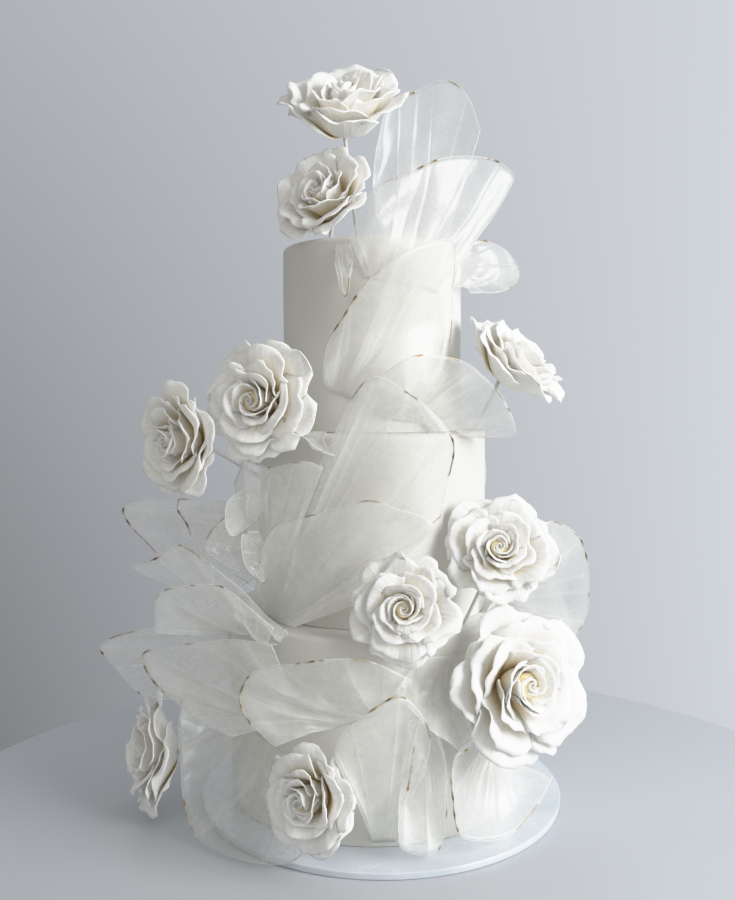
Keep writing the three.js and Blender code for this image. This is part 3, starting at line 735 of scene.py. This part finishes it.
# %% List the sails
SAILS = [
    # Round the top
    {"name": "crown_tall",
     "root": [(20, 36, 469.2), (72, 64, 469.2)],
     "rim": [(11, 20, 550), (80, 14, 588), (97, 36, 602), (95, 60, 613), (94, 81, 601), (90, 92, 569)],
     "belly": -8, "folds": 1.6, "gilt": [(0.3, 0.42)], "sheer": 0.16},
    {"name": "crown_fan",
     "root": [(-4, 77.4, 436), (42, 77.4, 426)],
     "rim": [(-12, 83, 466), (0, 83, 500), (20, 82, 515), (38, 88, 528), (57, 96, 534), (74, 110, 534),
             (80, 120, 523), (77, 100, 500)],
     "belly": 3, "folds": 2.6, "gilt": [(0.3, 0.42), (0.62, 0.72)], "sheer": 0.16},
    {"name": "crown_right",
     "root": [(68, 76.9, 466), (58, 76.9, 432)],
     "rim": [(76, 84, 474), (81, 100, 473), (88, 117, 465), (90, 126, 447), (84, 112, 433),
             (68, 88, 429)],
     "belly": 5, "folds": 1.2, "depth": 1.5, "gilt": [(0.05, 0.2)], "sheer": 0.14},
    {"name": "upper_drape",
     "root": [(-28, 76.9, 350), (-4, 76.9, 338)],
     "rim": [(-26, 86, 372), (-21, 92, 388), (-13, 98, 404), (-4, 101, 426), (8, 100, 445), (18, 99, 456),
             (31, 97, 463), (43, 93, 463), (48, 86, 430), (50, 82, 392), (42, 81, 362), (20, 81, 342)],
     "belly": 4, "folds": 3.2, "gilt": [(0.1, 0.26)]},
    {"name": "upper_strip",
     "root": [(-21, 76.9, 462), (-13, 76.9, 462)],
     "rim": [(-20, 83, 444), (-16, 86, 424), (-13, 86, 422), (-12, 83, 440)],
     "belly": 2, "folds": 0.8, "depth": 0.5},
    # Round the middle tier
    {"name": "middle_tall",
     "root": [(-58, 98, 180), (-42, 98, 168)],
     "rim": [(-20, 113, 294), (-7, 124, 343), (1, 130, 358), (10, 132, 348), (19, 135, 332),
             (26, 135, 309), (28, 118, 275), (29, 107, 252)],
     "belly": 5, "folds": 2.4, "depth": 2.5, "gilt": [(0.42, 0.5), (0.66, 0.8)]},
    {"name": "middle_back",
     "root": [(8, 76.9, 326), (34, 76.9, 322)],
     "rim": [(3, 100, 357), (11, 108, 370), (20, 108, 375), (38, 110, 371), (44, 120, 361),
             (49, 134, 340), (57, 134, 315), (60, 112, 312)],
     "belly": 5, "folds": 3, "gilt": [(0.22, 0.3)]},
    {"name": "middle_wrap",
     "root": [(-62, 104, 165), (-34, 112, 165)],
     "rim": [(-56, 112, 198), (-46, 118, 229), (-36, 122, 246), (-18, 126, 258), (-2, 128, 268),
             (8, 128, 262), (20, 129, 249), (12, 124, 226), (3, 117, 196)],
     "belly": 4, "folds": 2.2, "gilt": [(0.5, 0.56)]},
    {"name": "middle_left",
     "root": [(-72, 98, 182), (-60, 98, 170)],
     "rim": [(-67, 122, 274), (-53, 126, 295), (-38, 128, 290), (-25, 128, 296), (-17, 126, 292)],
     "belly": 5, "folds": 2.6},
    {"name": "under_rose",
     "root": [(-38, 92, 316), (-24, 90, 316)],
     "rim": [(-34, 134, 344), (-29, 130, 324), (-23, 128, 313), (-18, 124, 304), (-13, 116, 300)],
     "belly": 5, "folds": 1.5, "depth": 1.5},
    {"name": "left_high",
     "root": [(-92, 98, 238), (-84, 98, 214)],
     "rim": [(-87, 190, 256), (-86, 208, 252), (-85, 213, 247), (-83, 206, 235), (-82, 193, 222),
             (-79, 181, 211)],
     "belly": 6, "folds": 1.4, "gilt": [(0.3, 0.7)], "sheer": 0.08},
    {"name": "left_middle",
     "root": [(-77, 98, 252), (-68, 98, 200)],
     "rim": [(-80, 165, 258), (-80, 166, 249), (-77, 158, 236), (-73, 153, 221), (-65, 141, 206),
             (-55, 131, 192)],
     "belly": 5, "folds": 1.4, "gilt": [(0.2, 0.5)], "sheer": 0.08},
    {"name": "left_inner",
     "root": [(-64, 98, 242), (-60, 98, 212)],
     "rim": [(-59, 138, 248), (-62, 147, 235), (-62, 150, 222), (-56, 130, 206)],
     "belly": 3, "folds": 1, "depth": 1},
    {"name": "leaf_upper",
     "root": [(-60, 98, 266), (-60, 98, 258)],
     "rim": [(-54, 122, 272), (-50, 144, 264), (-50, 148, 248), (-49, 142, 237), (-53, 118, 246)],
     "belly": 3, "folds": 0.6, "depth": 0.5},
    {"name": "leaf_lower",
     "root": [(-48, 112, 226), (-48, 112, 216)],
     "rim": [(-45, 126, 240), (-46, 139, 237), (-46, 136, 215), (-45, 122, 200), (-47, 114, 206)],
     "belly": 3, "folds": 0.6, "depth": 0.5},
    # Skirt of the lower tier, left-hand side
    {"name": "skirt_top",
     "root": [(-78, 118, 165), (-34, 118, 165)],
     "rim": [(-73, 205, 206), (-68, 185, 216), (-64, 172, 227), (-57, 157, 217), (-47, 140, 196),
             (-38, 136, 180), (-27, 139, 170)],
     "belly": 8, "folds": 2.4, "gilt": [(0.1, 0.2)]},
    {"name": "skirt_upper",
     "root": [(-68, 124.1, 150), (-36, 124.1, 154)],
     "rim": [(-63, 191, 160), (-62, 190, 188), (-57, 177, 198), (-49, 161, 201), (-41, 150, 192),
             (-32, 140, 172)],
     "belly": 8, "folds": 2.2, "gilt": [(0.28, 0.36), (0.6, 0.68)]},
    {"name": "skirt_far",
     "root": [(-90, 124.1, 142), (-82, 124.1, 104)],
     "rim": [(-75, 186, 153), (-79, 210, 147), (-82, 225, 139), (-84, 234, 130), (-83, 224, 118),
             (-80, 204, 98), (-76, 190, 93)],
     "belly": 6, "folds": 2, "gilt": [(0.5, 0.6)]},
    {"name": "skirt_band",
     "root": [(-32, 124.1, 84), (-18, 124.1, 104)],
     "rim": [(-40, 164, 92), (-50, 172, 99), (-59, 178, 105), (-65, 192, 120), (-68, 198, 138),
             (-62, 184, 149), (-51, 168, 157), (-41, 158, 163), (-29, 153, 164)],
     "belly": 5, "folds": 2.6, "gilt": [(0.3, 0.5)]},
    {"name": "skirt_hanging",
     "root": [(-70, 124.1, 92), (-24, 124.1, 64)],
     "rim": [(-69, 166, 100), (-65, 172, 80), (-61, 174, 54), (-58, 175, 27), (-50, 175, 8),
             (-36, 169, 4), (-22, 166, 10), (-14, 160, 30)],
     "belly": 8, "folds": 2, "gilt": [(0.0, 0.08), (0.4, 0.46)]},
    # Skirt of the lower tier, front
    {"name": "front_band",
     "root": [(-14, 124.1, 96), (8, 124.1, 112)],
     "rim": [(-27, 158, 90), (-34, 162, 106), (-37, 163, 121), (-35, 162, 137), (-31, 160, 147),
             (-21, 157, 153), (-10, 153, 158), (0, 150, 154), (10, 146, 142)],
     "belly": 6, "folds": 3.8, "gilt": [(0.1, 0.42), (0.62, 0.7)]},
    {"name": "front_leaf",
     "root": [(0, 124.1, 10), (8, 124.1, 10)],
     "rim": [(-10, 161, 90), (-8, 162, 106), (0, 161, 124), (8, 157, 131), (15, 155, 104), (14, 152, 72)],
     "belly": 4, "folds": 1.2, "depth": 1.5, "gilt": [(0.34, 0.62)]},
    {"name": "front_tongue",
     "root": [(16, 124.1, 150), (34, 124.1, 148)],
     "rim": [(6, 141, 129), (12, 150, 116), (17, 150, 101), (22, 148, 92), (28, 146, 80), (33, 142, 88)],
     "belly": 7, "folds": 1.8, "depth": 1.5},
    {"name": "front_pocket",
     "root": [(44, 124.1, 84), (56, 124.1, 60)],
     "rim": [(28, 154, 88), (22, 156, 80), (22, 155, 50), (24, 156, 25), (31, 159, 17), (40, 161, 16),
             (50, 164, 28), (60, 165, 42)],
     "belly": 4, "folds": 2.6, "depth": 1.5, "gilt": [(0.02, 0.07), (0.2, 0.42)]},
    {"name": "front_foot",
     "root": [(13, 124.1, 104), (19, 124.1, 104)],
     "rim": [(13, 138, 92), (10, 148, 60), (7, 151, 34), (8, 150, 17), (16, 150, 11), (20, 148, 18),
             (22, 146, 46), (22, 143, 70), (20, 136, 94)],
     "belly": 4, "folds": 1.4, "depth": 1, "gilt": [(0.0, 0.14)]},
    {"name": "right",
     "root": [(66, 104, 165), (88, 112, 165)],
     "rim": [(66, 122, 214), (72, 148, 239), (79, 163, 236), (83, 179, 221), (84, 186, 192),
             (84, 185, 160), (82, 175, 138)],
     "belly": 6, "folds": 1.6, "gilt": [(0.42, 0.62)]},
    # Round the back
    {"name": "back_upper",
     "root": [(172, 76.9, 352), (190, 76.9, 364)],
     "rim": [(152, 88, 392), (142, 96, 430), (148, 100, 462), (166, 101, 470), (184, 100, 456),
             (200, 98, 426), (206, 92, 392)],
     "belly": -4, "folds": 2.6},
    {"name": "back_middle",
     "root": [(150, 98, 176), (164, 98, 172)],
     "rim": [(130, 108, 214), (122, 126, 262), (132, 134, 310), (150, 132, 338), (170, 128, 330),
             (186, 122, 290), (190, 110, 240)],
     "belly": -5, "folds": 2.6},
    {"name": "back_right",
     "root": [(100, 124.1, 92), (128, 124.1, 96)],
     "rim": [(92, 162, 60), (90, 172, 98), (96, 178, 140), (108, 172, 176), (122, 158, 182),
             (136, 148, 150)],
     "belly": -6, "folds": 2.2},
    {"name": "back_skirt",
     "root": [(160, 124.1, 112), (192, 124.1, 112)],
     "rim": [(146, 160, 112), (148, 168, 142), (156, 172, 170), (174, 164, 186), (192, 168, 172),
             (204, 164, 132)],
     "belly": -6, "folds": 2.6},
    {"name": "back_left",
     "root": [(222, 124.1, 106), (246, 124.1, 96)],
     "rim": [(214, 166, 96), (216, 174, 122), (223, 178, 150), (236, 180, 168), (250, 184, 150),
             (256, 176, 110)],
     "belly": -6, "folds": 2.2},
]
for order, sail in enumerate(SAILS):
    sail["seed"] = 40 + order
print("Sails:", len(SAILS))

# %% [markdown]
# ## Spreading the sails
#
# Each sail becomes a closed sheet of half a millimetre, on a grid fine enough for its creases. The film
# turns white where it is gathered, so the gather value grows where the grid is crowded, along each crease
# and near the root.

# %% Spread the sails
SAIL_THICKNESS = 0.5
SAIL_GRID = (161, 25)

for sail in SAILS:
    u, v = np.meshgrid(np.linspace(0, 1, SAIL_GRID[0]), np.linspace(0, 1, SAIL_GRID[1]))
    points = sail_surface(sail, u, v)
    corners, faces = sheet(points, SAIL_THICKNESS)
    width = np.linalg.norm(np.gradient(points, axis=1), axis=-1)
    crowd = np.clip(1.2 - width / np.median(width[-1]), 0, 1)
    gathered = 0.7 * crowd**1.5 + 0.4 * np.exp(-v / 0.07) + 0.8 * fine_creases(sail, u, v)[1]
    gathered = gathered - sail.get("sheer", 0)
    gathered = {"gather": np.tile(gathered.ravel(), 2)}
    sail["piece"] = make_piece("film_" + sail["name"], [(corners, faces, 0, gathered)], [film])
    sail["outline"] = np.concatenate([points[:-1, 0], points[-1], points[-2::-1, -1]])
    dress(sail["piece"], "sail_" + sail["name"])
print("Sails:", len(SAILS), "with", sum(len(sail["piece"].data.polygons) for sail in SAILS), "faces")

# %% [markdown]
# ## Wires
#
# Every sail is stiffened by a fine wire along its outline. It is wrapped in film, so it is pale for most of
# its length, and shows brown and gold where the wrapping is thin, mostly along the rim. The maker twists
# the ends together, and the twists are the small dark knots.

# %% Draw the wires
WIRE_RADIUS = 0.14
WIRE_BARE = 0.65
WIRE_SIDES = 6
KNOT_TURNS = 2.5
KNOT_REACH = 1.6
KNOT_STEPS = 26
KNOT_RADIUS = 0.45
KNOT_WIRE = 0.2
KNOT_SIDES = 5
KNOTTED = 0.6
wire, tree, shader = start_finish("gilt_wire")
bare = add(tree, "ShaderNodeAttribute", attribute_name="bare").outputs["Fac"]
stain = noise(tree, 3)
metal = blend(tree, spread(tree, stain, 0.35, 0.65), (0.08, 0.052, 0.024), (0.45, 0.31, 0.115))
tree.links.new(blend(tree, bare, (0.93, 0.93, 0.91), metal), shader.inputs["Base Color"])
tree.links.new(spread(tree, bare, 0, 1, 0, 0.5), shader.inputs["Metallic"])
tree.links.new(spread(tree, stain, 0.3, 0.7, 0.28, 0.5), shader.inputs["Roughness"])
tree.links.new(bump(tree, stain, 0.08), shader.inputs["Normal"])


def bareness(sail, path):
    """How far the wire shows, from 0 where it is wrapped to 1 where it is bare."""
    run = np.concatenate([[0], np.cumsum(np.linalg.norm(np.diff(path, axis=0), axis=1))])
    seed = sail["seed"]
    wave = np.sin(run / 9 + 6 * uneven(seed, 70)) + np.sin(run / 23 + 6 * uneven(seed, 71))
    wave += 0.6 * np.sin(run / 3.7 + 6 * uneven(seed, 72))
    share = run / run[-1]
    on_rim = np.clip(np.minimum(share - 0.2, 0.8 - share) / 0.08, 0, 1)
    show = np.clip((wave - 0.6) / 0.8, 0, 1) * (0.1 + 0.9 * on_rim) * 0.7
    along = (np.arange(len(path)) - (SAIL_GRID[1] - 1)) / (SAIL_GRID[0] - 1)
    for start, end in sail.get("gilt", []):
        patchy = 0.75 + 0.25 * np.sin(run / 2.1 + seed)
        show = np.maximum(show, patchy * np.clip(np.minimum(along - start, end - along) / 0.015, 0, 1))
    return show


def knot(place, along, seed):
    """A short twist of wire round a point of the rim."""
    along = unit(along)
    side = unit(np.cross(along, np.array([0.3, 0.5, 0.8])))
    other = np.cross(along, side)
    turn = np.linspace(0, 2 * math.pi * KNOT_TURNS, KNOT_STEPS)[:, None]
    run = np.linspace(-KNOT_REACH, KNOT_REACH, KNOT_STEPS)[:, None]
    coil = (np.cos(turn) * side + np.sin(turn) * other) * KNOT_RADIUS
    return place + along * run + coil * (1 + 0.3 * uneven(seed, 3))


parts = []
for sail in SAILS:
    path = sail["outline"]
    show = bareness(sail, path)
    corners, faces = tube(path, WIRE_RADIUS + WIRE_BARE * show, WIRE_SIDES)
    show = np.append(np.repeat(show, WIRE_SIDES), [0, 0])
    parts.append((corners, faces, 0, {"bare": show}))
    rim = sail["outline"][SAIL_GRID[1] - 1:SAIL_GRID[1] - 1 + SAIL_GRID[0]]
    if uneven(sail["seed"], 8) < KNOTTED:
        index = int(round((0.1 + 0.8 * uneven(sail["seed"], 9)) * (len(rim) - 1)))
        heading = rim[min(index + 1, len(rim) - 1)] - rim[max(index - 1, 0)]
        corners, faces = tube(knot(rim[index], heading, sail["seed"]), KNOT_WIRE, KNOT_SIDES)
        parts.append((corners, faces, 0, {"bare": np.ones(len(corners))}))
wires = make_piece("sail_wires", parts, [wire])
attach(wires, "root")
made_faces[wires.name] = len(wires.data.polygons)
print("Wires:", made_faces[wires.name], "faces; all pieces:", sum(made_faces.values()))

# %% [markdown]
# ## Table, wall and light
#
# The photograph has a white round table in front of a pale wall, lit by a soft window on the right. The
# table is a plain disc that belongs to the stage, not to the cake. The wall is the world's colour, darker
# on the left, so it also gives the shade on the left of the tiers. Towards the camera the world is the rest
# of the room, with a soft bright place high on the left. One large area light is the window.

# %% Set the stage
TABLE_RADIUS = 0.42
TABLE_MIDDLE = (0.02, -0.095)
TABLE_THICKNESS = 26
TABLE_GAP = 0.1
ROOM_GLOW = (-0.5, -0.75, 0.45)
WINDOW_PLACE = (1.42, -0.78, 0.85)
WINDOW_LOOKS_AT = (0, 0, 0.3)
WINDOW_SIZE = 1.1
WINDOW_POWER = 38
table_finish, tree, shader = start_finish("table_paint")
breath = noise(tree, 160)
tree.links.new(blend(tree, breath, (0.47, 0.49, 0.52), (0.51, 0.53, 0.56)), shader.inputs["Base Color"])
tree.links.new(spread(tree, breath, 0.3, 0.7, 0.30, 0.38), shader.inputs["Roughness"])
table_profile = rounded(TABLE_RADIUS / MM, -TABLE_THICKNESS, -TABLE_GAP, 4, 4)
middle = (TABLE_MIDDLE[0] / MM, TABLE_MIDDLE[1] / MM)
table_top = make_piece("table_top", [(*lathe(table_profile, 256, middle), 0, {})], [table_finish])

world = bpy.data.worlds.new("wall")
scene.world = world
world.use_nodes = True
tree = world.node_tree
ray = add(tree, "ShaderNodeTexCoord").outputs["Generated"]
parts_of_ray = add(tree, "ShaderNodeSeparateXYZ", Vector=ray)
lean = add(tree, "ShaderNodeMath", operation="MULTIPLY_ADD", in0=parts_of_ray.outputs[0], in1=-0.9, in2=0.35)
side = add(tree, "ShaderNodeMath", operation="MULTIPLY_ADD", in0=parts_of_ray.outputs[2], in1=lean.outputs[0],
           in2=parts_of_ray.outputs[0]).outputs[0]
shade = spread(tree, side, -0.62, 0.38)
wall = blend(tree, shade, (0.21, 0.215, 0.23), (0.64, 0.67, 0.71))
room = blend(tree, shade, (0.40, 0.392, 0.355), (0.43, 0.423, 0.40))
glow_side = Vector(unit(np.array(ROOM_GLOW)))
toward = add(tree, "ShaderNodeVectorMath", operation="DOT_PRODUCT", in0=ray, in1=glow_side)
glow = spread(tree, toward.outputs["Value"], 0.86, 1.0)
room = blend(tree, glow, room, (0.95, 0.95, 0.93))
behind = spread(tree, parts_of_ray.outputs[1], -0.1, 0.3)
tree.links.new(blend(tree, behind, room, wall), tree.nodes["Background"].inputs["Color"])
tree.nodes["Background"].inputs["Strength"].default_value = 1.0
scene.cycles.diffuse_bounces = 7


def window(name, place, target, size, power, colour):
    """A soft square light that looks at a target."""
    data = bpy.data.lights.new(name, "AREA")
    data.shape, data.size, data.energy, data.color = "SQUARE", size, power, colour
    light = bpy.data.objects.new(name, data)
    light.location = place
    light.rotation_euler = (Vector(target) - Vector(place)).to_track_quat("-Z", "Y").to_euler()
    scene.collection.objects.link(light)


window("window", WINDOW_PLACE, WINDOW_LOOKS_AT, WINDOW_SIZE, WINDOW_POWER, (0.98, 0.99, 1.0))
print("Stage set")

# %% [markdown]
# ## How bright places are shown
#
# White sugar in window light is brighter than a picture can show. A photograph lets such places roll off
# softly, so the veins of the lit petals stay visible. The view's curve does the same here. It leaves
# everything darker than a pale grey as it is, and bends over above that.

# %% Roll the bright places off
BRIGHTEST = 2.0
BRIGHTEST_SHOWN = 0.99
SHOULDER = [(0.2, 0.2), (0.4, 0.4), (0.6, 0.6), (0.8, 0.79), (1.0, 0.9), (1.3, 0.96)]
scene.view_settings.view_transform = "Standard"
scene.view_settings.use_curve_mapping = True
shoulder = scene.view_settings.curve_mapping
shoulder.white_level = [BRIGHTEST] * 3
for given, shown in SHOULDER:
    shoulder.curves[3].points.new(given / BRIGHTEST, shown)
shoulder.curves[3].points[-1].location = (1, BRIGHTEST_SHOWN)
shoulder.update()
print("The curve bends from", SHOULDER[2][0], "to", BRIGHTEST)
